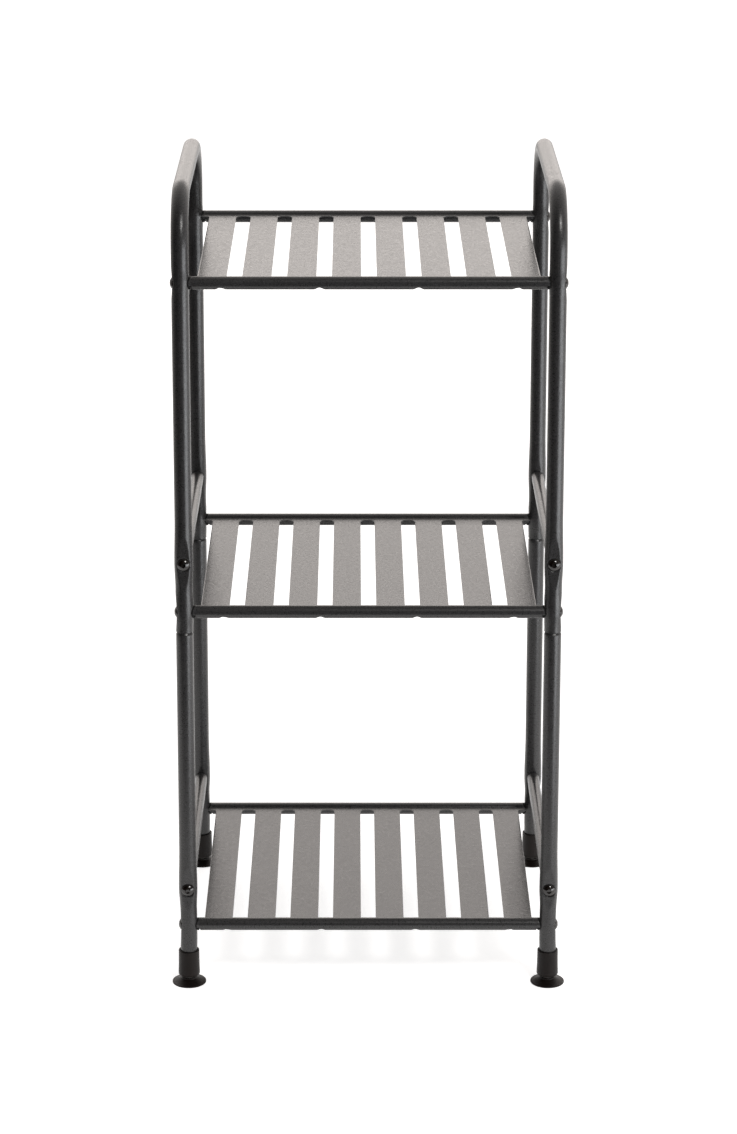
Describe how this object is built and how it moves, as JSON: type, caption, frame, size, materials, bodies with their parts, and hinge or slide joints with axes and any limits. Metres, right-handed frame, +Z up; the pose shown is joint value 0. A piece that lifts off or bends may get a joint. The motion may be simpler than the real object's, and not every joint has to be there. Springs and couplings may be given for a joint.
{
  "type": "shelving unit",
  "caption": "Free-standing metal shelving unit: bent tube side frames with arched tops, slatted sheet shelves with rolled edges, side rails and screw feet.",
  "frame": {"origin": "on the floor, in the middle of the four feet", "axes": "+Z up; the front faces -Y; the left side, as seen from the front, is -X"},
  "size_m": [0.372, 0.322, 0.7667],
  "materials": {
    "leg_coat": "satin anthracite powder coat",
    "shelf_coat": "satin anthracite powder coat",
    "rail_coat": "satin anthracite powder coat",
    "plug_plastic": "moulded black",
    "bolt_black": "blackened steel, slightly glossy",
    "foot_plastic": "moulded black",
    "stud_steel": "zinc-plated, threaded"
  },
  "bodies": {
    "frame": {"side_frame_left": "leg_coat", "side_frame_right": "leg_coat", "leg_lower_front_left": "leg_coat", "leg_lower_front_right": "leg_coat", "leg_lower_rear_left": "leg_coat", "leg_lower_rear_right": "leg_coat", "shelf_bottom": "shelf_coat", "shelf_middle": "shelf_coat", "shelf_top": "shelf_coat", "side_rail_low_left": "rail_coat", "side_rail_low_right": "rail_coat", "side_rail_middle_left": "rail_coat", "side_rail_middle_right": "rail_coat", "shelf_plugs_bottom": "plug_plastic", "shelf_plugs_middle": "plug_plastic", "shelf_plugs_top": "plug_plastic", "rail_plugs_low": "plug_plastic", "rail_plugs_middle": "plug_plastic", "shelf_bolts_bottom": "bolt_black", "shelf_bolts_middle": "bolt_black", "shelf_bolts_top": "bolt_black", "rail_bolts_low": "bolt_black", "rail_bolts_middle": "bolt_black", "foot_sleeves": "foot_plastic"},
    "pad_front_left": {"foot_pad_front_left": "foot_plastic"},
    "stud_front_left": {"foot_stud_front_left": "stud_steel"},
    "pad_front_right": {"foot_pad_front_right": "foot_plastic"},
    "stud_front_right": {"foot_stud_front_right": "stud_steel"},
    "pad_rear_left": {"foot_pad_rear_left": "foot_plastic"},
    "stud_rear_left": {"foot_stud_rear_left": "stud_steel"},
    "pad_rear_right": {"foot_pad_rear_right": "foot_plastic"},
    "stud_rear_right": {"foot_stud_rear_right": "stud_steel"}
  },
  "joints": [
    {"name": "foot_slide_front_left", "type": "slide", "parent": "frame", "child": "pad_front_left", "axis": [0, 0, -1], "range_m": [0, 0.01]},
    {"name": "foot_spin_front_left", "type": "hinge", "parent": "pad_front_left", "child": "stud_front_left", "pos_m": [-0.17, -0.145, 0.007], "axis": [0, 0, -1], "range_deg": [0, 2880]},
    {"name": "foot_slide_front_right", "type": "slide", "parent": "frame", "child": "pad_front_right", "axis": [0, 0, -1], "range_m": [0, 0.01]},
    {"name": "foot_spin_front_right", "type": "hinge", "parent": "pad_front_right", "child": "stud_front_right", "pos_m": [0.17, -0.145, 0.007], "axis": [0, 0, -1], "range_deg": [0, 2880]},
    {"name": "foot_slide_rear_left", "type": "slide", "parent": "frame", "child": "pad_rear_left", "axis": [0, 0, -1], "range_m": [0, 0.01]},
    {"name": "foot_spin_rear_left", "type": "hinge", "parent": "pad_rear_left", "child": "stud_rear_left", "pos_m": [-0.17, 0.145, 0.007], "axis": [0, 0, -1], "range_deg": [0, 2880]},
    {"name": "foot_slide_rear_right", "type": "slide", "parent": "frame", "child": "pad_rear_right", "axis": [0, 0, -1], "range_m": [0, 0.01]},
    {"name": "foot_spin_rear_right", "type": "hinge", "parent": "pad_rear_right", "child": "stud_rear_right", "pos_m": [0.17, 0.145, 0.007], "axis": [0, 0, -1], "range_deg": [0, 2880]}
  ],
  "couplings": [
    {"joint": "foot_spin_front_left", "follows": "foot_slide_front_left", "rad_per_m": 5026.5},
    {"joint": "foot_spin_front_right", "follows": "foot_slide_front_right", "rad_per_m": 5026.5},
    {"joint": "foot_spin_rear_left", "follows": "foot_slide_rear_left", "rad_per_m": 5026.5},
    {"joint": "foot_spin_rear_right", "follows": "foot_slide_rear_right", "rad_per_m": 5026.5}
  ]
}
